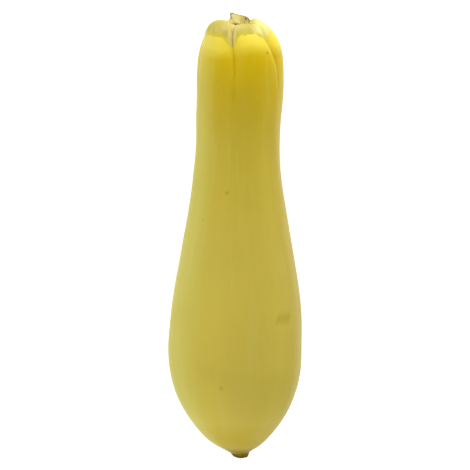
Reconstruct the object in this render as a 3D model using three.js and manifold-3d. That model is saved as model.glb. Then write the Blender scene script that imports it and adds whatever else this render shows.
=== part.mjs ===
// A yellow straightneck squash lying on its side as picked, in millimetres, +Z up.
// Its long axis runs along +Y, from the blossom end to the cut stem, and dips a little
// towards the stem, because the thin neck and the fat bulb both rest on the surface.
// It is two pieces: the fruit, and the stub of its stem with the stem's flared foot.
import * as THREE from "three";
import { mergeVertices } from "three/addons/utils/BufferGeometryUtils.js";
import Module from "manifold-3d";

const wasm = await Module();
wasm.setup();

// Driving dimensions
const fruitLength = 175.6; // blossom tip to the flat top that the stem's foot covers
const bulbRadius = 26.85;
const thicknessShare = 0.985; // the fruit is a little thinner upright than it is wide
const restTilt = THREE.MathUtils.degToRad(5.1); // how far the stem end dips
const restFlat = 0.7; // depth of the flat spots that the fruit rests on
const seatGap = 0.3; // between the fruit and the stem's foot
const stubRadius = 3.6; // the cut stem, across its five flat sides

// The fruit's five lobes meet in creases, and the stem's five points lie in them. These are the
// creases' angles, from straight up towards the right: along the neck, and at the stem.
const creases = [
  [-8, -13],
  [61, 46],
  [133, 124],
  [206, 198],
  [281, 273],
].map((angles) => angles.map(THREE.MathUtils.degToRad));
const creasesTurn = [0.9, 0.98]; // the shares of the length between which they swing over
const lobeWidth = (2 * Math.PI) / creases.length;

// Points round and along the fruit, and how strongly they gather at the creases and at the ends.
const columnsPerLobe = 12;
const columnCrowding = 0.5;
const rings = 56;
const ringCrowding = 0.76;

// Half of the fruit's outline, from the blossom end to the stem end: how far along the fruit
// as a share of its length, and how far out as a share of the bulb's radius.
const outline = [
  [0, 0],
  [0.001, 0.06],
  [0.0029, 0.086],
  [0.0097, 0.119],
  [0.0143, 0.148],
  [0.0195, 0.2],
  [0.0285, 0.305],
  [0.0415, 0.42],
  [0.0645, 0.569],
  [0.1105, 0.778],
  [0.158, 0.912],
  [0.204, 0.982],
  [0.256, 1],
  [0.338, 0.98],
  [0.408, 0.919],
  [0.5, 0.813],
  [0.592, 0.714],
  [0.682, 0.641],
  [0.748, 0.624],
  [0.822, 0.641],
  [0.872, 0.649],
  [0.915, 0.637],
  [0.9485, 0.6],
  [0.973, 0.525],
  [0.9885, 0.437],
  [0.9965, 0.345],
  [1, 0.2],
  [1.0005, 0],
];

// How far the fruit's middle lies to the right of its straight axis, at shares of its length.
const sway = [
  [0, 1.5],
  [0.023, 0.7],
  [0.05, -0.05],
  [0.17, -0.45],
  [0.25, -0.8],
  [0.35, -0.3],
  [0.45, 0],
  [0.65, 0.1],
  [0.75, 0.5],
  [0.87, 1.25],
  [1, 1.3],
];

const outlineCurve = new THREE.CatmullRomCurve3(
  outline.map(([along, out]) => new THREE.Vector3(out * bulbRadius, along * fruitLength, 0)),
  false,
  "centripetal",
);
outlineCurve.arcLengthDivisions = 2000;

const smoothStep = THREE.MathUtils.smoothstep;

// The value at a share of the length, along straight runs that are rounded off at the stations.
function alongStations(stations, share) {
  const last = stations.length - 1;
  const next = stations.findIndex(([at]) => at >= share);
  const i = next < 0 ? last : Math.max(next, 1);
  const [a, from] = stations[i - 1];
  const [b, to] = stations[i];
  return from + (to - from) * smoothStep(share, a, b);
}

// A turn counts lobes round the fruit: at 2 is the third crease, and at 2.5 the third lobe's
// middle. This is its angle from straight up, at a share of the fruit's length.
function angleAt(turn, share) {
  const swing = smoothStep(share, ...creasesTurn);
  const creaseAngle = (number) => {
    const [neck, stem] = creases[number % creases.length];
    const round = Math.floor(number / creases.length);
    return 2 * Math.PI * round + THREE.MathUtils.lerp(neck, stem, swing);
  };
  const lobe = Math.floor(turn);
  return THREE.MathUtils.lerp(creaseAngle(lobe), creaseAngle(lobe + 1), turn - lobe);
}

// The angle from the nearest crease.
function fromCrease(turn) {
  return Math.abs(turn - Math.round(turn)) * lobeWidth;
}

// Moves even steps from 0 to 1 closer together at both ends.
function crowded(share, crowding) {
  return share - (crowding * Math.sin(2 * Math.PI * share)) / (2 * Math.PI);
}

// Turns round the fruit, closer together beside each crease.
const columns = creases.flatMap((_, lobe) =>
  Array.from({ length: columnsPerLobe }, (_, column) => {
    return lobe + crowded(column / columnsPerLobe, columnCrowding);
  }),
);

// How much the lobes, their creases and the faint ribs raise the fruit's skin. The lobes take
// over from the ribs along the shoulder, between two shares of the length, and fade out where
// they meet, within a radius of the flat top.
const lobeRise = 0.5;
const creaseDepth = 1.25;
const creaseHalfAngle = THREE.MathUtils.degToRad(4.2);
const ribRise = 0.16;
const shoulder = [0.84, 0.97];
const flatTop = [1, 11];
const tipEnd = [0.03, 0.2];

// The shoulder sinks a little where the first crease meets the stem.
const frontDip = 0.8;
const frontDipRadius = 6;
const frontDipTurns = 0.6;

function relief(turn, radius, along) {
  const share = along / fruitLength;
  const across = Math.PI * (turn - Math.floor(turn));
  const nearStem = smoothStep(share, ...shoulder) * smoothStep(radius, ...flatTop);
  const lobe = lobeRise * Math.sin(across);
  const crease = creaseDepth * Math.exp(-fromCrease(turn) / creaseHalfAngle);
  const ribs = ribRise * Math.cos(4 * across) * smoothStep(share, ...tipEnd);
  const fromFront = Math.min(turn, creases.length - turn) / frontDipTurns;
  const fromDip = (radius - frontDipRadius) / frontDipRadius;
  const dip = frontDip * Math.exp(-(fromFront ** 2) - fromDip ** 2) * smoothStep(share, ...shoulder);
  return nearStem * (lobe - crease) + (1 - nearStem) * ribs - dip;
}

// A point of the fruit's skin, at a share of the outline's length, raised from the skin by lift.
function skinPoint(share, turn, lift = 0) {
  const at = outlineCurve.getPointAt(share);
  const run = outlineCurve.getTangentAt(share);
  const raised = relief(turn, at.x, at.y) + lift;
  const out = at.x + run.y * raised;
  const along = at.y - run.x * raised;
  const angle = angleAt(turn, at.y / fruitLength);
  return new THREE.Vector3(
    alongStations(sway, at.y / fruitLength) + out * Math.sin(angle),
    along,
    out * Math.cos(angle) * thicknessShare,
  );
}

// Closes rows of points into one skin. The first and last rows are single points.
function closedSkin(first, rows, last) {
  const count = columns.length;
  const points = [first, ...rows.flat(), last];
  const index = [];
  const place = (row, column) => 1 + row * count + (column % count);
  for (let column = 0; column < count; column++) {
    index.push(0, place(0, column + 1), place(0, column));
    index.push(points.length - 1, place(rows.length - 1, column), place(rows.length - 1, column + 1));
    for (let row = 0; row + 1 < rows.length; row++) {
      const [a, b] = [place(row, column), place(row, column + 1)];
      const [c, d] = [place(row + 1, column + 1), place(row + 1, column)];
      index.push(a, b, c, a, c, d);
    }
  }
  return new THREE.BufferGeometry().setFromPoints(points).setIndex(index);
}

function solidFrom(geometry) {
  const bare = new THREE.BufferGeometry().setAttribute("position", geometry.getAttribute("position"));
  const merged = mergeVertices(bare.setIndex(geometry.getIndex()));
  return new wasm.Manifold(
    new wasm.Mesh({
      numProp: 3,
      vertProperties: merged.getAttribute("position").array,
      triVerts: new Uint32Array(merged.getIndex().array),
    }),
  );
}

function geometryFrom(solid) {
  const { vertProperties, triVerts } = solid.getMesh();
  return new THREE.BufferGeometry()
    .setAttribute("position", new THREE.BufferAttribute(vertProperties, 3))
    .setIndex(new THREE.BufferAttribute(triVerts, 1));
}

// The fruit: rings from the blossom end's nub to the flat top, crowded towards both ends.
function fruitGeometry() {
  const rows = Array.from({ length: rings - 1 }, (_, ring) => {
    const share = crowded((ring + 1) / rings, ringCrowding);
    return columns.map((turn) => skinPoint(share, turn));
  });
  return closedSkin(skinPoint(0, 0), rows, skinPoint(1, 0));
}

// The stem's foot spreads over the fruit's top and runs out in a point along each crease.
const footReach = 15.2; // over the skin, from the stem's middle to the foot's edge on a lobe
const pointReach = 22.5; // and to the tip of a point
const pointHalfAngle = THREE.MathUtils.degToRad(8);
const footEdge = 0.45; // thickness at the edge
const footRise = 0.75; // what the foot gains towards the stub
const ridgeRise = 0.45; // the ridge along each point

const stubCorner = 0.1; // how far the stub's corners stand out, as a share of its radius
const stubFlare = 1.28; // how much wider the stub is where it meets the foot

// The stem was cut slantwise, lower towards the right and towards the upper side.
const cutHeight = 178.45;
const cutFallRight = 0.3;
const cutFallUp = 0.5;

const topLength = outlineCurve.getLength();

function footEdgeReach(turn) {
  const point = Math.exp(-Math.pow(fromCrease(turn) / pointHalfAngle, 1.4));
  return footReach + (pointReach - footReach) * point;
}

function footThickness(reach, turn) {
  const inward = 1 - reach / footEdgeReach(turn);
  const ridge = ridgeRise * Math.exp(-Math.pow(fromCrease(turn) / pointHalfAngle, 2));
  return footEdge + footRise * smoothStep(inward, 0, 0.75) + ridge * smoothStep(inward, 0, 0.3);
}

function footPoint(reach, turn, lift) {
  return skinPoint(1 - reach / topLength, turn, seatGap + lift);
}

// How far out the stub's wall stands: it has a rounded corner above each point of the foot.
function stubReach(turn) {
  return stubRadius * (1 + stubCorner * Math.cos(2 * Math.PI * turn));
}

// A point of the stub's cut face.
function cutPoint(share, turn) {
  const point = footPoint(share * stubReach(turn), turn, 0);
  const middle = alongStations(sway, 1);
  point.y = cutHeight - cutFallRight * (point.x - middle) - cutFallUp * point.z;
  return point;
}

function stemGeometry() {
  const under = [0.12, 0.3, 0.48, 0.66, 0.84, 1];
  const over = [1, 0.84, 0.68, 0.54, 0.42];
  const cut = [1, 0.8, 0.45];
  const onFoot = (reach, turn) => footPoint(reach, turn, footThickness(reach, turn));
  const rows = [
    ...under.map((share) => columns.map((turn) => footPoint(share * footEdgeReach(turn), turn, 0))),
    ...over.map((share) => columns.map((turn) => onFoot(share * footEdgeReach(turn), turn))),
    columns.map((turn) => onFoot(stubFlare * stubReach(turn), turn)),
    ...cut.map((share) => columns.map((turn) => cutPoint(share, turn))),
  ];
  return closedSkin(footPoint(0, 0, 0), rows, cutPoint(0, 0));
}

// The squash lies in a group that tips it to its rest, and its origin is under its middle.
const squash = new THREE.Group();
squash.rotation.x = -restTilt;
squash.updateMatrixWorld(true);

const whole = new THREE.Box3().setFromBufferAttribute(
  fruitGeometry().applyMatrix4(squash.matrixWorld).getAttribute("position"),
);
const ground = new THREE.BoxGeometry(4 * bulbRadius, 2 * fruitLength, 2 * bulbRadius)
  .translate(0, fruitLength / 2, whole.min.z + restFlat - bulbRadius)
  .applyMatrix4(squash.matrixWorld.clone().invert());
const restingFruit = solidFrom(fruitGeometry()).subtract(solidFrom(ground));

const fruit = new THREE.Mesh(
  geometryFrom(restingFruit),
  new THREE.MeshStandardMaterial({ color: 0xcdb244, roughness: 0.42, metalness: 0 }),
);
fruit.name = "fruit";

const stem = new THREE.Mesh(
  stemGeometry(),
  new THREE.MeshStandardMaterial({ color: 0xcfc27c, roughness: 0.75, metalness: 0 }),
);
stem.name = "stem";

squash.add(fruit, stem);
const extent = new THREE.Box3().setFromObject(squash, true);
squash.position.set(
  -(extent.min.x + extent.max.x) / 2,
  -(extent.min.y + extent.max.y) / 2,
  -extent.min.z,
);

const part = new THREE.Group();
part.add(squash);

export default part;
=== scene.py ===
import math

import bpy
from mathutils import Matrix, Vector, noise
from mathutils.bvhtree import BVHTree


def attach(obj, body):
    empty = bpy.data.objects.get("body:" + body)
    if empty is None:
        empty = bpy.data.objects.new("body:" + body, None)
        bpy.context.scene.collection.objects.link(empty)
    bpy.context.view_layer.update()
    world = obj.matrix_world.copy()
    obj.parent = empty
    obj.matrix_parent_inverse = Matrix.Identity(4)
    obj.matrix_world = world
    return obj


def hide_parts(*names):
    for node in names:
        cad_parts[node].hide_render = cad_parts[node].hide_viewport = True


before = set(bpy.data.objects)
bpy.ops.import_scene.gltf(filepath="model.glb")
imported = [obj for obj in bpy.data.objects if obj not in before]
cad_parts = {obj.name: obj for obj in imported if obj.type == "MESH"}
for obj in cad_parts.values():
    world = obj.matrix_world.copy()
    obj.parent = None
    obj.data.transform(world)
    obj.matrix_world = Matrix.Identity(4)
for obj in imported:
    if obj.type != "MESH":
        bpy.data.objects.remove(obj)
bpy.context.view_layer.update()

mm = 0.001
degree = math.radians(1)

# The squash lies on its side. Its own axis starts at the blossom tip and runs along local Y to
# the stem, with local Z away from the surface that it lies on. Angles round the axis start
# straight up and grow towards +X.
squash = {
    "dip": 5.1 * degree,      # how far the stem end dips
    # The creases between the five lobes: their angles along the neck, and at the stem
    "creases": [(-8, -13), (61, 46), (133, 124), (206, 198), (281, 273)],
    "swing": (0.9, 0.98),     # the shares of the length between which they swing over
    "tipSway": 1.5 * mm,      # the blossom tip stands this far to the right of the axis
    "columnsPerLobe": 12,
}
lobes = len(squash["creases"])
lobeWidth = 2 * math.pi / lobes
columns = lobes * squash["columnsPerLobe"]

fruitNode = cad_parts["fruit"]
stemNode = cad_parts["stem"]

level = Matrix.Rotation(squash["dip"], 4, "X")
tip = min((v.co for v in fruitNode.data.vertices), key=lambda co: (level @ co).y)
rest = Matrix.Translation(tip) @ level.inverted() @ Matrix.Translation((-squash["tipSway"], 0, 0))
fromRest = rest.inverted()
fruitTop = max((fromRest @ v.co).y for v in fruitNode.data.vertices)


def clamp(value, low=0.0, high=1.0):
    return min(max(value, low), high)


def smooth(value, low, high):
    share = clamp((value - low) / (high - low))
    return share * share * (3 - 2 * share)


def mix(a, b, share):
    return a + (b - a) * share


def bell(value, width):
    return math.exp(-(value / width) ** 2)


def outward(angle):
    return Vector((math.sin(angle), 0, math.cos(angle)))


# Moves even steps from 0 to 1 closer together at both ends.
def crowd(share, crowding):
    return share - crowding * math.sin(2 * math.pi * share) / (2 * math.pi)


# The creases' angles at a place along the squash.
def creasesAt(along):
    swing = smooth(along / fruitTop, *squash["swing"])
    return [mix(neck, stem, swing) * degree for neck, stem in squash["creases"]]


def lobeEdges(lobe, along):
    lines = creasesAt(along)
    return lines[lobe], lines[lobe + 1] if lobe + 1 < lobes else lines[0] + 2 * math.pi


# A turn counts lobes round the squash: at 2 is the third crease, and at 2.5 the third lobe's
# middle.
def turnOf(angle, along):
    past = (angle - creasesAt(along)[0]) % (2 * math.pi)
    for lobe in range(lobes):
        start, end = lobeEdges(lobe, along)
        if past < end - start:
            break
        past -= end - start
    return lobe + clamp(past / (end - start), 0, 0.999999)


def angleOf(turn, along):
    lobe = int(turn)
    return mix(*lobeEdges(lobe, along), turn - lobe)


# The nearest crease, and how far past it a turn lies.
def creaseBeside(turn):
    return round(turn) % lobes, (turn - round(turn)) * lobeWidth


def grain(point, size, seed=0.0):
    return noise.noise(point / size + Vector((seed, 1.7 * seed, -0.6 * seed)))


# Noise that changes round the axis and only slowly along it.
def lengthwise(angle, along, around, seed=0.0):
    return noise.noise(outward(angle) * around + Vector((seed, along, -seed)))


def surfaceOf(piece, matrix=Matrix.Identity(4)):
    mesh = piece.data
    points = [matrix @ v.co for v in mesh.vertices]
    return BVHTree.FromPolygons(points, [tuple(face.vertices) for face in mesh.polygons])


def choose(piece):
    if bpy.context.object and bpy.context.object.mode != "OBJECT":
        bpy.ops.object.mode_set(mode="OBJECT")
    bpy.ops.object.select_all(action="DESELECT")
    piece.select_set(True)
    bpy.context.view_layer.objects.active = piece


def finishWith(piece, name, kind, settings):
    choose(piece)
    modifier = piece.modifiers.new(name, kind)
    for key, value in settings.items():
        setattr(modifier, key, value)
    bpy.ops.object.modifier_apply(modifier=modifier.name)


# A ring of vertices round the local Y axis, closer together beside each crease.
def addRing(name, radius, centre):
    firstCrease = creasesAt(0)[0]
    bpy.ops.object.select_all(action="DESELECT")
    bpy.ops.mesh.primitive_circle_add(vertices=columns, radius=radius, location=centre,
                                      rotation=(math.pi / 2, firstCrease, 0))
    piece = bpy.context.object
    piece.name = piece.data.name = name
    bpy.ops.object.transform_apply(location=True, rotation=True, scale=True)
    for vertex in piece.data.vertices:
        arm = vertex.co - centre
        lobe, share = divmod(((math.atan2(arm.x, arm.z) - firstCrease) / lobeWidth + 1e-6) % lobes, 1)
        vertex.co = centre + outward(angleOf(lobe + crowd(share, 0.5), 0)) * arm.length
    return piece


# Draws the ring at the piece's open end on to the next centre and radius.
def extrudeRing(step, grow, centre):
    bpy.ops.mesh.extrude_region_move(TRANSFORM_OT_translate={"value": step})
    if grow != 1:
        bpy.ops.transform.resize(value=(grow, 1, grow), center_override=centre)


def closeEnd(piece, nearTip):
    choose(piece)
    ends = [v.co.y for v in piece.data.vertices]
    edge = min(ends) if nearTip else max(ends)
    for item in (*piece.data.vertices, *piece.data.edges, *piece.data.polygons):
        item.select = False
    for vertex in piece.data.vertices:
        vertex.select = abs(vertex.co.y - edge) < 0.001 * mm
    bpy.ops.object.mode_set(mode="EDIT")
    bpy.ops.mesh.select_mode(type="VERT")
    bpy.ops.mesh.extrude_region_move(TRANSFORM_OT_translate={"value": (0, 0, 0)})
    bpy.ops.mesh.merge(type="CENTER")
    bpy.ops.mesh.select_all(action="SELECT")
    bpy.ops.mesh.normals_make_consistent(inside=False)
    bpy.ops.object.mode_set(mode="OBJECT")


# Puts a piece that was modelled along the straight axis where the squash rests.
def layDown(piece):
    choose(piece)
    piece.matrix_world = rest
    bpy.ops.object.transform_apply(location=True, rotation=True, scale=True)
    bpy.ops.object.shade_smooth()


def paint(piece, name, values):
    layer = piece.data.attributes.new(name, "FLOAT", "POINT")
    layer.data.foreach_set("value", values)


# Fruit

fruit = {
    "rings": 56,
    "crowdRings": 0.76,                 # how strongly the rings gather at the two ends
    "endGaps": (0.06 * mm, 0.12 * mm),  # from the two ends to the first and last rings
    "fineness": 2,                      # subdivisions
    "swell": 0.12 * mm,                 # makes up for what subdividing takes off the bulb
    "swellFade": (60 * mm, 120 * mm),
    "tipSwell": {"rise": 0.2 * mm, "along": 6 * mm, "reach": 4 * mm},
    "creaseEnds": [145 * mm, 150 * mm, 153 * mm, 149 * mm, 151 * mm],  # where each crease fades out
    "creaseFade": 14 * mm,
    "creaseDepth": 0.42 * mm,
    "creaseWidth": 0.33 * mm,
    # Where it fades out, each crease is fainter and broader
    "creaseTail": {"strength": 0.55, "past": 3 * mm, "length": 4 * mm, "width": 0.9 * mm},
    "shoulder": (151 * mm, 167 * mm),   # over which the valleys between the lobes set in
    "valleyDepth": 0.25 * mm,
    "valleyWidth": 12 * degree,
    "body": (4 * mm, 25 * mm),          # over which the bumps and ribs set in
    "bumpiness": 0.28 * mm,
    "bumpSizes": (27 * mm, 11 * mm),
    "ribbing": 0.1 * mm,
    "ribLengths": (30 * mm, 18 * mm),
    # Round the blossom end: over which lengths they fade out, and how far from the axis they start
    "pleats": {"depth": 0.12 * mm, "fade": (2 * mm, 7 * mm), "start": (0.5 * mm, 2.5 * mm),
               "length": 4 * mm},
    # The shoulder's high side, and the hollow in front of the stub
    "shelf": {"rise": 1.45 * mm, "angle": -62 * degree, "reach": 10 * mm, "width": 4.5 * mm,
              "along": (165 * mm, 173 * mm)},
    "dent": {"depth": 1.4 * mm, "angle": 4 * degree, "width": 46 * degree, "edge": (5 * mm, 11 * mm),
             "along": (165 * mm, 172 * mm)},
    "restFade": (0.1 * mm, 2.5 * mm),   # heights above the surface over which the relief sets in
}

# Marks on the skin: how far along the axis, how far round from straight up, how large and deep,
# and how strongly they colour it.
blemishes = {
    "shoulderSpeck": {"along": 164.6 * mm, "angle": 41 * degree, "size": 0.65 * mm, "depth": 0.12 * mm,
                      "strength": 0.6},
    "neckSpeck": {"along": 116.6 * mm, "angle": -53 * degree, "size": 0.5 * mm, "depth": 0.06 * mm,
                  "strength": 0.3},
    "bodySpeck": {"along": 109.3 * mm, "angle": -13 * degree, "size": 0.8 * mm, "depth": 0.08 * mm,
                  "strength": 0.36},
    "paleSpeck": {"along": 98.4 * mm, "angle": -43 * degree, "size": 0.5 * mm, "depth": 0.05 * mm,
                  "strength": 0.25},
    "lowSpeck": {"along": 31.9 * mm, "angle": -13.3 * degree, "size": 0.8 * mm, "depth": 0.08 * mm,
                 "strength": 0.35},
    "backSpeck": {"along": 71 * mm, "angle": 148 * degree, "size": 0.7 * mm, "depth": 0.12 * mm,
                  "strength": 0.6},
    "sideSpeck": {"along": 128 * mm, "angle": 212 * degree, "size": 0.6 * mm, "depth": 0.1 * mm,
                  "strength": 0.5},
}
bruise = {
    "along": 59 * mm, "angle": 47 * degree,
    "reach": 8 * mm,          # nothing further off belongs to it
    "halfWidth": 3.9 * mm, "halfHeight": 1.9 * mm, "lean": 24 * degree,
    "edge": (0.75, 1.2),      # how soft its edges are, as shares of its half size
    "raggedness": 0.12,
    "depth": 0.14 * mm, "strength": 0.5,
}

solid = surfaceOf(fruitNode, fromRest)


# The middle and the mean radius of the fruit where a plane across its axis cuts it.
def measureRing(along, centreGuess):
    centre = Vector((centreGuess.x, along, centreGuess.z))
    sides = 12
    rays = [outward(2 * math.pi * (side + 0.5) / sides) for side in range(sides)]
    for attempt in range(2):  # the second starts from the middle that the first finds
        hits = [solid.ray_cast(centre, ray)[0] for ray in rays]
        centre = sum(hits, Vector()) / sides
    return centre, sum((hit - centre).length for hit in hits) / sides


def measureFruit():
    rings = []
    atTip, atTop = fruit["endGaps"]
    guess = Vector((squash["tipSway"], 0, 0))
    for ring in range(1, fruit["rings"]):
        share = crowd(ring / fruit["rings"], fruit["crowdRings"])
        guess, radius = measureRing(mix(atTip, fruitTop - atTop, share), guess)
        rings.append((guess, radius))
    return rings


fruitRings = measureFruit()


def middleAt(along):
    for (low, _), (high, _) in zip(fruitRings, fruitRings[1:]):
        if along < high.y:
            return low.lerp(high, clamp((along - low.y) / (high.y - low.y)))
    return fruitRings[-1][0]


# Where a point of the fruit lies: its angle and turn round it, and its distance from the middle.
def whereabouts(point):
    arm = point - middleAt(point.y)
    angle = math.atan2(arm.x, arm.z)
    return angle, turnOf(angle, point.y), math.hypot(arm.x, arm.z)


def skinSpot(mark):
    return solid.ray_cast(middleAt(mark["along"]), outward(mark["angle"]))[0]


def makeFruit():
    centre, radius = fruitRings[0]
    piece = addRing("fruitSkin", radius, centre)
    bpy.ops.object.mode_set(mode="EDIT")
    bpy.ops.mesh.select_all(action="SELECT")
    for (before, narrow), (after, wide) in zip(fruitRings, fruitRings[1:]):
        extrudeRing(after - before, wide / narrow, after)
    bpy.ops.object.mode_set(mode="OBJECT")
    for vertex in piece.data.vertices:
        arm = vertex.co - middleAt(vertex.co.y)
        turn = turnOf(math.atan2(arm.x, arm.z), 0)
        vertex.co += outward(angleOf(turn, vertex.co.y)) * arm.length - arm
    closeEnd(piece, True)
    closeEnd(piece, False)
    piece.matrix_world = rest
    finishWith(piece, "wrap", "SHRINKWRAP", {"target": fruitNode, "wrap_method": "NEAREST_SURFACEPOINT"})
    finishWith(piece, "smooth", "SUBSURF", {"levels": fruit["fineness"],
                                            "render_levels": fruit["fineness"]})
    piece.matrix_world = Matrix.Identity(4)
    return piece


# How far the skin rises at a point, and how deep in a crease and in a valley it lies.
def fruitRelief(point):
    angle, turn, radius = whereabouts(point)
    along = point.y
    number, off = creaseBeside(turn)
    end = fruit["creaseEnds"][number]
    aside = abs(off) * radius
    crease = smooth(along, end, end + fruit["creaseFade"]) * math.exp(-aside / fruit["creaseWidth"])
    tail = fruit["creaseTail"]
    faint = tail["strength"] * bell(along - end - tail["past"], tail["length"])
    crease = max(crease, faint * bell(aside, tail["width"]))
    shoulder = smooth(along, *fruit["shoulder"])
    valley = shoulder * bell(off, fruit["valleyWidth"])
    rise = mix(fruit["swell"], 0, smooth(along, *fruit["swellFade"]))
    nearTip = fruit["tipSwell"]
    rise += nearTip["rise"] * bell(along - nearTip["along"], nearTip["reach"])
    onBody = smooth(along, *fruit["body"]) * (1 - 0.6 * shoulder)
    broad, small = fruit["bumpSizes"]
    bumps = grain(point, broad, 3.1) + 0.45 * grain(point, small, 8.4)
    long, short = fruit["ribLengths"]
    ribs = lengthwise(angle, along / long, 4.5) + 0.5 * lengthwise(angle, along / short, 9)
    rise += onBody * (fruit["bumpiness"] * bumps + fruit["ribbing"] * ribs)
    rise -= fruit["creaseDepth"] * crease + fruit["valleyDepth"] * valley
    pleats = fruit["pleats"]
    pleated = (1 - smooth(along, *pleats["fade"])) * smooth(radius, *pleats["start"])
    rise += pleats["depth"] * pleated * lengthwise(angle, along / pleats["length"], 4)
    shelf = fruit["shelf"]
    high = shelf["rise"] * clamp(math.cos(angle - shelf["angle"])) * smooth(along, *shelf["along"])
    rise += high * bell(radius - shelf["reach"], shelf["width"])
    dent = fruit["dent"]
    before = bell(math.remainder(angle - dent["angle"], 2 * math.pi), dent["width"])
    low = dent["depth"] * before * (1 - smooth(radius, *dent["edge"]))
    rise -= low * smooth(along, *dent["along"])
    return rise, crease, valley


# How deep in the bruise a point of the skin lies: a slanted patch with soft edges.
def inBruise(point, place):
    step = point - place
    across = math.copysign(math.hypot(step.x, step.z), step.x - step.z)
    wide = (across - step.y * math.tan(bruise["lean"])) / bruise["halfWidth"]
    high = step.y / bruise["halfHeight"]
    ragged = bruise["raggedness"] * grain(point, 1.6 * mm, 4.4)
    inHeight, inWidth = (1 - smooth(abs(share) + ragged, *bruise["edge"]) for share in (high, wide))
    return inHeight * inWidth


def sculptFruit(piece):
    marks = [(skinSpot(mark), mark) for mark in blemishes.values()]
    bruisePlace = skinSpot(bruise)
    painted = {"crease": [], "valley": [], "bruise": []}
    moved = []
    for vertex in piece.data.vertices:
        point = vertex.co
        rise, crease, valley = fruitRelief(point)
        nearBruise = (point - bruisePlace).length < bruise["reach"]
        sore = inBruise(point, bruisePlace) if nearBruise else 0.0
        rise -= bruise["depth"] * sore
        for place, mark in marks:
            rise -= mark["depth"] * bell((point - place).length, mark["size"])
        rise *= smooth((rest @ point).z, *fruit["restFade"])
        moved.append(point + vertex.normal * rise)
        for name, value in (("crease", crease), ("valley", valley), ("bruise", sore)):
            painted[name].append(value)
    for vertex, place in zip(piece.data.vertices, moved):
        world = rest @ place
        world.z = max(world.z, 0.0)
        vertex.co = fromRest @ world
    piece.data.update()
    for name, values in painted.items():
        paint(piece, name, values)


fruitSkin = makeFruit()
sculptFruit(fruitSkin)
print("fruit:", len(fruitSkin.data.polygons), "faces")

skinSurface = surfaceOf(fruitSkin)


# The skin as a ray from inside the fruit meets it, raised along the ray.
def onSkin(centre, ray, lift):
    return skinSurface.ray_cast(centre, ray)[0] + ray * lift


# Draws a ring out into a plain tube of any width, with a step for each ring of the segments.
def addTube(name, segments, fineness):
    piece = addRing(name, 5 * mm, Vector((0, 0, 0)))
    bpy.ops.object.mode_set(mode="EDIT")
    bpy.ops.mesh.select_all(action="SELECT")
    for ring in range(sum(segments.values())):
        extrudeRing((0, mm, 0), 1, None)
    bpy.ops.object.mode_set(mode="OBJECT")
    finishWith(piece, "refine", "SUBSURF", {"levels": fineness, "render_levels": fineness,
                                            "subdivision_type": "SIMPLE"})
    return piece


# Shapes the plain tube: each ring's place along it says which segment it belongs to. The placer
# gives each point's place, and the values to paint there.
def shapeTube(piece, segments, placer):
    painted = {}
    for vertex in piece.data.vertices:
        turn = turnOf(math.atan2(vertex.co.x, vertex.co.z), 0)
        count = vertex.co.y / mm
        for segment, rings in segments.items():
            if count <= rings + 1e-4 or segment == list(segments)[-1]:
                break
            count -= rings
        vertex.co, values = placer(segment, clamp(count / rings), turn)
        for name, value in values.items():
            painted.setdefault(name, []).append(value)
    for name, values in painted.items():
        paint(piece, name, values)


def weld(piece):
    choose(piece)
    bpy.ops.object.mode_set(mode="EDIT")
    bpy.ops.mesh.select_all(action="SELECT")
    bpy.ops.mesh.remove_doubles(threshold=0.002 * mm)
    bpy.ops.mesh.normals_make_consistent(inside=False)
    bpy.ops.object.mode_set(mode="OBJECT")


# Stem

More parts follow.
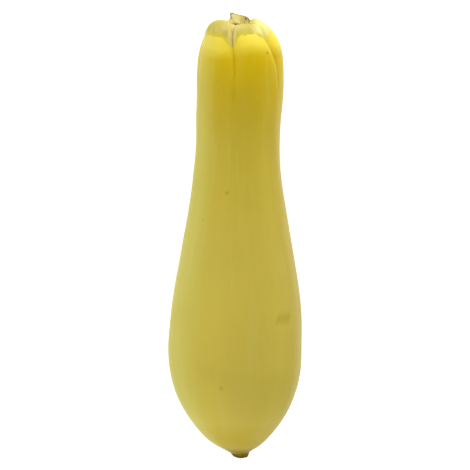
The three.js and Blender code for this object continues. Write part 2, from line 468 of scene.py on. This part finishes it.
stem = {
    "rings": {"under": 4, "foot": 15, "wall": 7, "cut": 8},  # from the underside to the cut
    "domeBelowTop": 17.2 * mm,       # the shoulder bends round a point this far below its top
    # Seen from that point, in degrees, the foot's edge on each lobe and in each crease
    "edgesOnLobes": (49, 48, 51, 49, 53),
    "edgesInCreases": (68, 55, 62, 66, 62),
    "pointWidth": 8 * degree,
    "rootAngle": 15.5 * degree,      # where the foot turns up into the stub
    "frontWidth": 0.45,              # in turns, to each side of the front crease
    # How far the front crease swings left as it nears the stub, and over which angles
    "frontSwirl": 28 * degree,
    "swirlFade": (12 * degree, 33 * degree),
    "sunk": 0.1 * mm,                # how far the foot's edge lies in the skin
    "edgeStep": 0.13 * mm,
    "edgeCurve": 0.7 * mm,
    "thickness": 1.05 * mm,
    "thickening": (0.3 * mm, 8 * mm),  # how far in from the edge the foot gains it
    # Each crease runs on in the foot as a groove between two flanks
    "groove": {"depth": 0.2 * mm, "width": 0.25 * mm},
    "flank": {"rise": 0.25 * mm, "aside": 1.15 * mm, "width": 0.6 * mm},
    # The cut's outline: how far it reaches from its middle, at angles in degrees
    "outline": ((-49, 3.3 * mm), (-3, 3.6 * mm), (56, 3.6 * mm), (94, 3.75 * mm), (130, 4.1 * mm),
                (183, 2.9 * mm), (236, 4.4 * mm), (271, 3.6 * mm), (311, 3.3 * mm)),
    "meanReach": 3.6 * mm,
    "cutAboveTop": 1.5 * mm,
    # How steeply the cut falls to the right, and away from the surface that the squash lies on
    "cutFallRight": 0.3,
    "cutFallUp": 0.5,
    # The cut sinks towards its middle, with a pit there. Two low ridges run round it: each one's
    # share of the way out, height and width
    "cutSink": 0.3 * mm,
    "cutPit": {"depth": 0.45 * mm, "halfWidth": 0.13},
    "cutRidges": ((0.64, 0.1 * mm, 0.09), (1, 0.14 * mm, 0.06)),
    # The hollow at the end of the front crease, a little to its right, against the stub's wall, and
    # the gap in the foot that it shows through, further out. Both lean to the left, by so much for
    # each millimetre out.
    "notch": {"depth": 0.12 * mm, "aside": 8 * degree, "halfWidth": 7 * degree, "reach": 1.1 * mm,
              "lean": 6 * degree},
    "gap": {"depth": 0.75 * mm, "out": 3.5 * mm, "halfWidth": 7 * degree, "reach": 1.7 * mm,
            "lean": 3 * degree},
    # The foot's swelling to the right of the stub
    "hump": {"rise": 1.35 * mm, "turn": 1.75, "halfWidth": 0.35, "out": 1.3 * mm, "reach": 1.9 * mm},
    "wallHeight": 2.2 * mm,
    "wallWaist": 0.33 * mm,
    "wallFlare": 0.18 * mm,          # at the cut's edge
    # On the foot: a painted shadow stroke in from its edge to the right of the front crease, a tan
    # patch before the stub, and a tan band on each side of the front crease
    "edgeShadow": {"strength": 0.5, "turn": 0.66, "halfWidth": 0.24, "inward": 0.07, "thickness": 0.07},
    "tanPatch": {"strength": 0.7, "belowTop": 1.3 * mm, "reach": 1.7 * mm},
    "tanBand": {"aside": mm, "halfWidth": 0.8 * mm, "fade": (0.75, 0.35)},
    "darkSpot": {"reach": 2.9 * mm, "angle": 127 * degree, "size": 0.45 * mm},  # on the cut
}
stemMiddle = middleAt(fruitTop - 3 * mm)
domeCentre = Vector((stemMiddle.x, fruitTop - stem["domeBelowTop"], 0))


def footEdge(turn):
    number, off = creaseBeside(turn)
    point = math.exp(-(abs(off) / stem["pointWidth"]) ** 1.4)
    ragged = 0.009 * lengthwise(turn * lobeWidth, 0, 9)
    edge = mix(stem["edgesOnLobes"][int(turn)], stem["edgesInCreases"][number], point)
    return edge * degree * (1 + ragged)


# The angle that a turn has come to, seen from inside the shoulder at a polar angle.
def swung(polar, turn):
    fromFront = min(turn, lobes - turn)
    swirl = stem["frontSwirl"] * bell(fromFront, stem["frontWidth"])
    swirl *= 1 - smooth(polar, *stem["swirlFade"])
    return angleOf(turn, domeCentre.y + stem["domeBelowTop"] * math.cos(polar)) - swirl


def onShoulder(polar, turn, lift):
    ray = Vector((0, math.cos(polar), 0)) + outward(swung(polar, turn)) * math.sin(polar)
    return onSkin(domeCentre, ray, lift)


# How deep a point lies in the hollow at the end of its crease, from its distance out from the
# wall, which is negative up the wall. The front crease has the deepest, and it trails off up the
# wall and to the right.
def notchAt(out, turn):
    number, off = creaseBeside(turn)
    notch = stem["notch"]
    size = 1 if number == 0 else 0.3
    beside = bell(off - notch["aside"] + notch["lean"] * out / mm, notch["halfWidth"])
    return size * beside * bell(out, notch["reach"])


def outFromWall(polar):
    return (polar - stem["rootAngle"]) * stem["domeBelowTop"]


# How far aside of its crease a point of the foot lies.
def asideOf(off, polar):
    return abs(off) * math.sin(polar) * stem["domeBelowTop"]


# How far the foot stands off the skin.
def footLift(polar, turn):
    number, off = creaseBeside(turn)
    angle = turn * lobeWidth
    inward = (footEdge(turn) - polar) * stem["domeBelowTop"]
    aside = asideOf(off, polar)
    lift = stem["edgeStep"] * (1 - math.exp(-inward / stem["edgeCurve"])) - stem["sunk"]
    lift += stem["thickness"] * smooth(inward, *stem["thickening"])
    flank = stem["flank"]
    groove = stem["groove"]
    ridge = flank["rise"] * bell(aside - flank["aside"], flank["width"])
    lift += smooth(inward, 0, 3 * mm) * (ridge - groove["depth"] * math.exp(-aside / groove["width"]))
    lift += 0.05 * mm * lengthwise(angle, polar * 3, 22) * smooth(inward, 0.3 * mm, 3 * mm)
    out = outFromWall(polar)
    lift -= stem["notch"]["depth"] * notchAt(out, turn)
    gap = stem["gap"]
    if number == 0:
        furtherIn = max(gap["out"] - out, 0) / mm
        beside = bell(off - gap["lean"] * furtherIn, gap["halfWidth"])
        lift -= gap["depth"] * beside * bell(out - gap["out"], gap["reach"])
    hump = stem["hump"]
    swelling = hump["rise"] * bell(turn - hump["turn"], hump["halfWidth"])
    lift += swelling * bell(out - hump["out"], hump["reach"])
    return lift + 0.14 * mm * lengthwise(angle, polar * 6, 5)


# How far the cut reaches from its middle.
def stubReach(angle):
    start = stem["outline"][0][0]
    past = (angle / degree - start) % 360 + start
    for (low, near), (high, far) in zip(stem["outline"], stem["outline"][1:]):
        if past <= high:
            break
    dents = 1 + 0.035 * lengthwise(angle, 0, 3.5) + 0.02 * lengthwise(angle, 0, 11)
    return mix(near, far, smooth(past, low, high)) * dents


# The cut at a share of the way out from its middle.
def cutPoint(share, turn):
    angle = swung(stem["rootAngle"], turn)
    aside = outward(angle) * share * mix(stem["meanReach"], stubReach(angle), share)
    place = stemMiddle + aside
    place.y = (fruitTop + stem["cutAboveTop"] - stem["cutFallRight"] * aside.x
               - stem["cutFallUp"] * aside.z)
    place.y += sum(height * bell(share - out, width) for out, height, width in stem["cutRidges"])
    pit = stem["cutPit"]
    place.y -= pit["depth"] * bell(share, pit["halfWidth"])
    place.y -= stem["cutSink"] * (1 - smooth(share, 0.2, 0.95))
    place.y += 0.1 * mm * grain(place, 0.8 * mm, 2.2) + 0.06 * mm * grain(place, 0.3 * mm, 5.5)
    return place


# The wall at a share of the way up, drawn in at its waist.
def wallPoint(share, turn):
    root = onShoulder(stem["rootAngle"], turn, footLift(stem["rootAngle"], turn))
    place = root.lerp(cutPoint(1, turn), share)
    curve = stem["wallFlare"] * bell(share - 1, 0.12)
    curve -= stem["wallWaist"] * math.sin(math.pi * share) ** 2
    side = outward(swung(stem["rootAngle"], turn))
    place += side * (curve + 0.07 * mm * lengthwise(turn * lobeWidth, share, 16))
    hollow = notchAt(-share * stem["wallHeight"], turn) * smooth(share, 0, 0.3)
    return place - side * stem["notch"]["depth"] * hollow


# How dark a point of the foot is, from painted shade in its grooves and in the notch and a painted
# shadow along its edge, and how tan.
def footMarks(place, polar, share, turn):
    number, off = creaseBeside(turn)
    aside = asideOf(off, polar)
    # Painted shade down the groove of each crease.
    groove = 0.3 * math.exp(-aside / stem["groove"]["width"])
    # Painted shadow: a dark stroke just in from the foot's edge, to the right of the front crease.
    edgeShadow = stem["edgeShadow"]
    dark = edgeShadow["strength"] * bell(turn - edgeShadow["turn"], edgeShadow["halfWidth"])
    dark *= bell(share - edgeShadow["inward"], edgeShadow["thickness"])
    # Painted shade in the notch at the end of the crease.
    hollow = clamp(1.5 * notchAt(outFromWall(polar), turn))
    patch = stem["tanPatch"]
    tan = patch["strength"] * bell(place.y - fruitTop + patch["belowTop"], patch["reach"])
    tan *= bell(min(turn, lobes - turn), stem["frontWidth"])
    if number == 0:
        band = stem["tanBand"]
        tan = max(tan, bell(aside - band["aside"], band["halfWidth"]) * smooth(share, *band["fade"]))
    return max(groove, dark, hollow), tan


# How dark a point of the cut is, from the dark spot and the fibres drawn out on its low side, and
# how strong those fibres are.
def cutMarks(aside):
    drawn = noise.noise(Vector((aside.x / (0.4 * mm), aside.z / (2 * mm), 4.2)))
    lowSide = smooth(aside.x, -1 * mm, 1.5 * mm) * smooth(aside.z, -1.2 * mm, 0.8 * mm)
    spot = stem["darkSpot"]
    fromSpot = aside - outward(spot["angle"]) * spot["reach"]
    dark = 1.5 * bell(fromSpot.x, spot["size"]) * bell(fromSpot.z, 2 * spot["size"])
    return max(0.7 * lowSide * smooth(drawn, 0.05, 0.45), clamp(dark)), drawn


# The stem's point at a share of the way along a segment, and what is painted there.
def stemPoint(segment, share, turn):
    angle = turn * lobeWidth
    values = {"upStub": 0.0, "intoCut": 0.0, "nearEdge": 0.0, "hollow": 0.0, "tan": 0.0, "fibre": 0.0}
    if segment == "under":
        place = onShoulder(share * footEdge(turn), turn, mix(-0.6, -0.1, share ** 3) * mm)
        values["nearEdge"] = 1.0
    elif segment == "foot":
        eased = mix(share, share ** 1.6, 0.6)
        polar = mix(footEdge(turn), stem["rootAngle"], eased)
        place = onShoulder(polar, turn, footLift(polar, turn))
        values["hollow"], values["tan"] = footMarks(place, polar, eased, turn)
        values["nearEdge"] = 1 - eased
        values["fibre"] = 0.5 * lengthwise(angle, polar * 2, 30)
    elif segment == "wall":
        place = wallPoint(share, turn)
        values["upStub"] = share
        # Painted shade in the notch where it runs up the wall.
        values["hollow"] = clamp(1.5 * notchAt(-share * stem["wallHeight"], turn))
        values["fibre"] = lengthwise(angle, share * 0.5, 18) + 0.5 * lengthwise(angle, share * 0.5, 40)
    else:
        place = cutPoint(1 - share, turn)
        values["upStub"] = 1.0
        values["intoCut"] = share
        aside = place - stemMiddle
        values["hollow"], drawn = cutMarks(aside)
        values["fibre"] = 0.6 * grain(place, 0.5 * mm, 7.7) + 0.6 * drawn
        values["tan"] = smooth(aside.x, -0.8 * mm, 1 * mm)
    return place, values


def makeStem():
    piece = addTube("cutStem", stem["rings"], 2)
    shapeTube(piece, stem["rings"], stemPoint)
    weld(piece)
    return piece


cutStem = makeStem()
print("stem:", len(cutStem.data.polygons), "faces")

# Blossom scar: the dry corky cap that the fallen flower left on the blossom end's nub

scar = {
    "rings": {"under": 3, "cap": 14},
    "above": 8 * mm,           # the cap bends round a point this far up the axis
    "edge": 35 * degree,       # seen from that point, the cap's edge
    "ragged": 0.1,
    "thickness": 0.28 * mm,
    # Two low rings round it, each at a share of the way in, and the cracks that cross them
    "ridges": ((0.42, 0.12 * mm, 0.07), (0.7, 0.1 * mm, 0.06)),
    "cracks": 0.22 * mm,
    "highSide": 0.25 * mm,     # to its right
    "style": 0.1 * mm,         # the pointed remnant in its middle
}
scarCentre = Vector((middleAt(3 * mm).x + 0.3 * mm, scar["above"], 0))


def scarEdge(angle):
    uneven = lengthwise(angle, 0, 2.2, 1.4) + 0.6 * lengthwise(angle, 0, 7, 2.6)
    return scar["edge"] * (1 + scar["ragged"] * uneven)


def scarPoint(segment, share, turn):
    angle = turn * lobeWidth
    if segment == "under":
        polar = share * scarEdge(angle)
        lift = mix(-0.5, -0.08, share ** 3) * mm
    else:
        polar = scarEdge(angle) * (1 - share)
        cracks = abs(lengthwise(angle, share * 2, 5, 3.3))
        lift = mix(-0.08 * mm, scar["thickness"], smooth(share, 0, 0.22))
        lift += sum(height * bell(share - middle, width) for middle, height, width in scar["ridges"])
        cracked = 1 - smooth(cracks, 0, 0.14)
        lift -= scar["cracks"] * cracked * math.sin(math.pi * clamp(share * 1.15))
        lift += scar["highSide"] * clamp(math.sin(angle)) * bell(share - 0.3, 0.3)
        lift += scar["style"] * bell(share - 1, 0.16)
    ray = Vector((0, -math.cos(polar), 0)) + outward(angle) * math.sin(polar)
    place = onSkin(scarCentre, ray, lift)
    if segment == "cap":
        place += ray * 0.07 * mm * (grain(place, 0.5 * mm, 6.1) + grain(place, 0.22 * mm, 1.9))
    return place, {"intoScar": share if segment == "cap" else 0.0}


def makeScar():
    piece = addTube("blossomScar", scar["rings"], 1)
    shapeTube(piece, scar["rings"], scarPoint)
    weld(piece)
    return piece


blossomScar = makeScar()
print("blossom scar:", len(blossomScar.data.polygons), "faces")

for piece in (fruitSkin, cutStem, blossomScar):
    layDown(piece)


# Materials

# A node's output. Arithmetic on it makes more nodes.
class Wire:
    def __init__(self, finish, socket):
        self.finish = finish
        self.socket = socket

    def __add__(self, other):
        return self.finish.math("ADD", self, other)

    def __sub__(self, other):
        return self.finish.math("SUBTRACT", self, other)

    def __rsub__(self, other):
        return self.finish.math("SUBTRACT", other, self)

    def __mul__(self, other):
        return self.finish.math("MULTIPLY", self, other)

    def __truediv__(self, other):
        return self.finish.math("DIVIDE", self, other)

    __radd__ = __add__
    __rmul__ = __mul__


# The nodes of a material, or of the surround.
class Finish:
    def __init__(self, owner, shader="Principled BSDF"):
        owner.use_nodes = True
        self.tree = owner.node_tree
        self.shader = self.tree.nodes[shader]

    def put(self, socket, value):
        if isinstance(value, Wire):
            self.tree.links.new(value.socket, socket)
        else:
            socket.default_value = value

    def node(self, kind, settings={}, values={}, output=0):
        node = self.tree.nodes.new("ShaderNode" + kind)
        for key, value in settings.items():
            if key == "stops":
                ramp = node.color_ramp.elements
                while len(ramp) < len(value):
                    ramp.new(0.5)
                for stop, (place, colour) in zip(ramp, value):
                    stop.position = place
                    stop.color = (*colour, 1)
            else:
                setattr(node, key, value)
        for key, value in values.items():
            self.put(node.inputs[key], value)
        return Wire(self, node.outputs[output])

    def math(self, operation, a, b):
        return self.node("Math", {"operation": operation}, {0: a, 1: b})

    def vector(self, operation, a, b, output=0):
        return self.node("VectorMath", {"operation": operation}, {0: a, 1: b}, output)

    def split(self, vector):
        return [self.node("SeparateXYZ", {}, {"Vector": vector}, axis) for axis in range(3)]

    def blend(self, a, b, share, mode="MIX"):
        pair = [value if isinstance(value, Wire) else (*value, 1) for value in (a, b)]
        return self.node("Mix", {"data_type": "RGBA", "blend_type": mode},
                         {"Factor": share, 6: pair[0], 7: pair[1]}, 2)

    def fade(self, value, low, high):
        return self.node("MapRange", {"interpolation_type": "SMOOTHSTEP"},
                         {"Value": value, "From Min": low, "From Max": high})

    def noise(self, vector, scale, detail=3.0, roughness=0.5):
        return self.node("TexNoise", {}, {"Vector": vector, "Scale": scale, "Detail": detail,
                                          "Roughness": roughness})

    def attribute(self, name):
        return self.node("Attribute", {"attribute_name": name}, {}, 2)

    def bump(self, height, distance, strength=1.0):
        return self.node("Bump", {}, {"Height": height, "Distance": distance, "Strength": strength})

    def set(self, **sockets):
        for name, value in sockets.items():
            self.put(self.shader.inputs[name.replace("_", " ")], value)


# Object coordinates turned so that Y runs along the squash from its blossom tip.
def squashCoordinates(finish):
    place = finish.node("TexCoord", {}, {}, "Object")
    return finish.node("Mapping", {}, {"Vector": place, "Location": tuple(fromRest.to_translation()),
                                       "Rotation": (squash["dip"], 0, 0)})


# The direction straight out from the axis.
def outFromAxis(finish, place):
    return finish.vector("NORMALIZE", finish.vector("MULTIPLY", place, (1, 0, 1)), (0, 0, 0))


# A pattern that runs along the squash: fine round it and long along it.
def lengthwiseNoise(finish, place, around, alongScale):
    run = finish.vector("MULTIPLY", place, (0, alongScale / around, 0))
    return finish.noise(finish.vector("ADD", outFromAxis(finish, place), run), around)


skin = {
    "tip": (0.29, 0.205, 0.001),
    "nearTip": (0.53, 0.385, 0.018),
    "bulb": (0.665, 0.53, 0.075),
    "body": (0.62, 0.495, 0.07),
    "neck": (0.60, 0.455, 0.04),
    "gold": (0.62, 0.44, 0.012),
    "deepGold": (0.68, 0.475, 0.002),
    # partly the skin's own brighter yellow, partly a painted highlight on the shoulder's lobes
    "shoulder": (0.85, 0.67, 0.055),
    "pale": (0.66, 0.60, 0.14),
    # painted light: the paler, greener colour of the lit left side
    "litLeftSide": (0.60, 0.59, 0.12),
    # painted shade: the darker colour of the less lit right side
    "rightShade": (0.52, 0.385, 0.03),
    "olive": (0.46, 0.38, 0.02),
    # painted shade for the creases
    "crease": (0.42, 0.30, 0.005),
    "speck": (0.30, 0.22, 0.02),
    "ground": (0.74, 0.68, 0.30),
    "fineTint": (1.12, 1.1, 1.2),    # what the finest streaks multiply the colour by
    "groundSpot": {"place": (0, 66 * mm, -25 * mm), "reach": (13 * mm, 30 * mm, 12 * mm)},
}


def skinFinish():
    finish = Finish(bpy.data.materials.new("squashSkin"))
    place = squashCoordinates(finish)
    along = finish.split(place)[1]
    wander = (finish.noise(place, 60) - 0.5) * (7 * mm)
    # Colour along the squash. Its bright shoulder colour at the stem end is partly the skin's own yellow
    # and partly a painted highlight on the lobes.
    colour = finish.node("ValToRGB", {"stops": [
        (0.016, skin["tip"]), (0.03, skin["nearTip"]), (0.09, skin["bulb"]), (0.32, skin["bulb"]),
        (0.48, skin["body"]), (0.74, skin["neck"]), (0.855, skin["gold"]), (0.925, skin["deepGold"]),
        (0.953, skin["shoulder"])]},
        {"Fac": (along + wander) / fruitTop})
    streaks = lengthwiseNoise(finish, place, 7, 30)
    mottle = finish.noise(place, 45, 4)
    fine = lengthwiseNoise(finish, place, 32, 90)
    side = finish.split(outFromAxis(finish, place))[0]
    # Painted light: the left side is painted paler and greener, where more light falls on it.
    colour = finish.blend(colour, skin["litLeftSide"], finish.fade(side, -0.4, -1.0) * 0.5)
    # Painted shade: the right side is painted darker, fading out along the neck towards the stem.
    rightShadeMask = finish.fade(side, 0.65, 0.98) * finish.fade(along, 150 * mm, 115 * mm)
    colour = finish.blend(colour, skin["rightShade"], rightShadeMask * 0.5)
    pale = finish.fade(streaks, 0.5, 0.8) * finish.fade(along, 3 * mm, 20 * mm)
    colour = finish.blend(colour, skin["pale"], pale * 0.22)
    colour = finish.blend(colour, skin["olive"], finish.fade(mottle, 0.52, 0.85) * 0.16)
    colour = finish.blend(colour, skin["fineTint"], finish.fade(fine, 0.45, 0.75) * 0.16, "MULTIPLY")
    dots = finish.node("TexVoronoi", {}, {"Vector": place, "Scale": 620.0, "Randomness": 1.0})
    colour = finish.blend(colour, skin["pale"], finish.fade(dots, 0.24, 0.08) * 0.22)
    spot = skin["groundSpot"]
    low = finish.vector("SUBTRACT", place, spot["place"])
    low = finish.vector("DIVIDE", low, spot["reach"])
    low = finish.vector("LENGTH", low, (0, 0, 0), 1) + (mottle - 0.5) * 0.9
    colour = finish.blend(colour, skin["ground"], finish.fade(low, 1.15, 0.55) * 0.6)
    # Painted shade: the valleys between the lobes at the shoulder are painted a darker gold.
    colour = finish.blend(colour, skin["deepGold"], finish.attribute("valley") * 0.4)
    # Painted shade: each crease is painted darker.
    colour = finish.blend(colour, skin["crease"], finish.attribute("crease") * 0.45)
    colour = finish.blend(colour, skin["olive"], finish.attribute("bruise") * bruise["strength"])
    for mark in blemishes.values():
        distance = finish.vector("DISTANCE", place, tuple(skinSpot(mark)), 1)
        inside = finish.fade(distance, mark["size"] * 1.5, mark["size"] * 0.4)
        colour = finish.blend(colour, skin["speck"], inside * mark["strength"])
    roughness = 0.36 + 0.16 * finish.noise(place, 150, 4) + 0.1 * finish.attribute("bruise")
    pores = finish.noise(place, 1500, 2) + 0.6 * finish.fade(dots, 0.3, 0.0)
    finish.set(Base_Color=colour, Roughness=roughness, Specular_IOR_Level=0.1, Coat_Weight=0.02,
               Coat_Roughness=0.28, Subsurface_Weight=0.1, Subsurface_Radius=(0.004, 0.0025, 0.0006),
               Subsurface_Scale=1.0, Normal=finish.bump(pores, 0.03 * mm, 0.5))


stemColours = {
    "foot": (0.465, 0.40, 0.052),
    "tan": (0.72, 0.56, 0.19),
    # painted highlight on the foot's far sides
    "pale": (0.80, 0.73, 0.26),
    "edge": (0.78, 0.62, 0.03),
    "wall": (0.53, 0.46, 0.12),
    "cut": (0.54, 0.465, 0.15),
    "cutLow": (0.42, 0.33, 0.06),
    "rim": (0.15, 0.10, 0.01),
    # painted shade and shadow on the foot; the real dark spot and fibres on the cut
    "hollow": (0.12, 0.095, 0.002),
    "fibreTint": (0.78, 0.74, 0.5),      # what the fibres multiply the colour by
    "cutFibreTint": (0.75, 0.68, 0.5),
}


def stemFinish():
    finish = Finish(bpy.data.materials.new("stemTissue"))
    place = squashCoordinates(finish)
    across, along, up = finish.split(place)
    c = stemColours
    patches = finish.noise(place, 350, 4)
    nearEdge = finish.attribute("nearEdge") + (patches - 0.5) * 0.12
    fibre = finish.attribute("fibre")
    upStub = finish.attribute("upStub")
    intoCut = finish.attribute("intoCut")
    onCut = finish.fade(intoCut, 0.02, 0.12)
    tan = finish.attribute("tan")
    colour = finish.blend(c["foot"], c["tan"], tan)
    colour = finish.blend(colour, c["tan"], finish.fade(patches, 0.52, 0.66) * 0.3)
    # Painted highlight: the foot's far left and right sides are painted pale, where strong light falls
    # on them.
    sides = finish.fade(across, 5 * mm, 9 * mm) + finish.fade(across, -11 * mm, -14 * mm)
    colour = finish.blend(colour, c["pale"], sides * 0.8)
    colour = finish.blend(colour, c["edge"], finish.fade(nearEdge, 0.68, 1.03))
    colour = finish.blend(colour, c["wall"], finish.fade(upStub, 0.0, 0.3))
    colour = finish.blend(colour, c["fibreTint"], finish.fade(fibre, 0.05, 0.45) * 0.55, "MULTIPLY")
    cut = finish.blend(c["cut"], c["cutLow"], tan)
    cut = finish.blend(cut, c["cutFibreTint"], finish.fade(fibre, 0.1, 0.5) * 0.6, "MULTIPLY")
    colour = finish.blend(colour, cut, onCut)
    rim = finish.fade(upStub, 0.8, 1.0) * finish.fade(intoCut, 0.12, 0.03)
    rim = rim * finish.fade(up, 2.4 * mm, 0.0)  # fainter towards the front crease
    colour = finish.blend(colour, c["rim"], rim)
    # The hollow colour paints shade in the grooves and the notch and a shadow along the foot's edge; on
    # the cut it is the real dark spot and dark fibres.
    colour = finish.blend(colour, c["hollow"], finish.attribute("hollow"))
    height = fibre * 0.6 + finish.noise(place, 1800, 3)
    finish.set(Base_Color=colour, Roughness=0.52 + 0.2 * patches, Specular_IOR_Level=0.18,
               Subsurface_Weight=0.08, Subsurface_Radius=(0.002, 0.0015, 0.0005), Subsurface_Scale=1.0,
               Normal=finish.bump(height, 0.08 * mm, 0.6))


scarColours = {
    # From the edge to the middle
    "stops": [(0.02, (0.30, 0.19, 0.01)), (0.18, (0.22, 0.15, 0.006)), (0.36, (0.10, 0.092, 0.006)),
              (0.7, (0.12, 0.105, 0.018)), (1.0, (0.07, 0.055, 0.012))],
    "crumbs": (0.36, 0.28, 0.08),
}


def scarFinish():
    finish = Finish(bpy.data.materials.new("blossomCork"))
    place = squashCoordinates(finish)
    into = finish.attribute("intoScar") + (finish.noise(place, 900, 3) - 0.5) * 0.25
    colour = finish.node("ValToRGB", {"stops": scarColours["stops"]}, {"Fac": into})
    crumbs = finish.noise(place, 2600, 4, 0.7)
    colour = finish.blend(colour, scarColours["crumbs"], finish.fade(crumbs, 0.58, 0.75) * 0.35)
    finish.set(Base_Color=colour, Roughness=0.6 + 0.3 * crumbs, Specular_IOR_Level=0.1,
               Normal=finish.bump(crumbs, 0.12 * mm, 0.8))


def wear(piece, material):
    piece.data.materials.clear()
    piece.data.materials.append(bpy.data.materials[material])


skinFinish()
stemFinish()
scarFinish()
wear(fruitSkin, "squashSkin")
wear(cutStem, "stemTissue")
wear(blossomScar, "blossomCork")
print("materials made")

for piece, slot in ((fruitSkin, "skin"), (cutStem, "stem"), (blossomScar, "skin")):
    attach(piece, "root")
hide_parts("fruit")
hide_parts("stem")

# Studio

studio = {
    "horizon": 0.83,                 # how bright the surround is at the height of the floor
    "zenith": 0.39,                  # and overhead
    "gains": {"stem": 0.1, "left": 0.3, "right": -0.45},  # and what it gains on each side
    "floor": (0.9, 0.9, 0.9),
    "floorGlow": (0.5, 0.52, 0.62),
    "cameraLean": 6 * degree,        # from square on to the squash's axis, towards the stem end
    "distance": 1.4,
    "pixels": 470,
    "pixelSize": 0.4027 * mm,        # of the photograph, at the squash
    "tipPixel": 458.9,
    "aside": -0.8 * mm,              # of the photograph's middle from the squash's axis
    # Each lamp's place, what it points at, its size in metres, and its power in watts
    "lamps": {
        "stemEndLamp": ((0.04, 0.38, 0.14), (0, 0.08, 0.02), (0.45, 0.16), 0.6),
        "shoulderLamp": ((0.16, 0.3, 0.07), (0, 0.08, 0.02), (0.14, 0.14), 0.26),
        "bulbLamp": ((0.08, -0.3, 0.32), (0, -0.06, 0.03), (0.3, 0.3), 0.44),
    },
}


def makeFloor():
    bpy.ops.object.select_all(action="DESELECT")
    bpy.ops.mesh.primitive_plane_add(size=6, location=(0, 0, -0.05 * mm))
    floor = bpy.context.object
    floor.name = "studioFloor"
    bpy.ops.object.transform_apply(location=True, rotation=True, scale=True)
    finish = Finish(bpy.data.materials.new("paleFloor"))
    finish.set(Base_Color=(*studio["floor"], 1), Roughness=0.9, Specular_IOR_Level=0.1,
               Emission_Color=(*studio["floorGlow"], 1), Emission_Strength=1.0)
    wear(floor, "paleFloor")


def makeSurround():
    world = bpy.data.worlds.new("studio")
    bpy.context.scene.world = world
    sky = Finish(world, "Background")
    x, y, z = sky.split(sky.node("TexCoord", {}, {}, "Generated"))
    rise = studio["zenith"] - studio["horizon"]
    brightness = studio["horizon"] + rise * sky.fade(z, 0.05, 0.85)
    for side, towards in (("stem", y), ("left", 0 - x), ("right", x)):
        brightness = brightness + studio["gains"][side] * sky.fade(towards, 0.1, 0.95)
    sky.set(Color=(1, 1, 1, 1), Strength=brightness)


def addLamp(name, place, target, size, power):
    bpy.ops.object.light_add(type="AREA", location=place)
    lamp = bpy.context.object
    lamp.name = name
    lamp.data.shape = "RECTANGLE"
    lamp.data.size, lamp.data.size_y = size
    lamp.data.energy = power
    lamp.visible_camera = False
    lamp.rotation_euler = (Vector(place) - Vector(target)).to_track_quat("Z", "Y").to_euler()


def addCamera():
    lean = squash["dip"] + studio["cameraLean"]
    back = Vector((0, math.sin(lean), math.cos(lean)))
    pixel = studio["pixelSize"]
    middle = (studio["tipPixel"] - studio["pixels"] / 2) * pixel / math.cos(studio["cameraLean"])
    target = rest @ Vector((studio["aside"], middle, 0))
    bpy.ops.object.camera_add(location=target + back * studio["distance"])
    camera = bpy.context.object
    across = Vector((1, 0, 0))
    camera.rotation_euler = Matrix((across, back.cross(across), back)).transposed().to_euler()
    camera.data.sensor_width = 36
    camera.data.lens = 36 * studio["distance"] / (studio["pixels"] * pixel)
    camera.data.clip_start = 0.05
    bpy.context.scene.camera = camera


makeFloor()
makeSurround()
for name, settings in studio["lamps"].items():
    addLamp(name, *settings)
addCamera()
bpy.context.scene.view_settings.view_transform = "Standard"
print("studio ready")
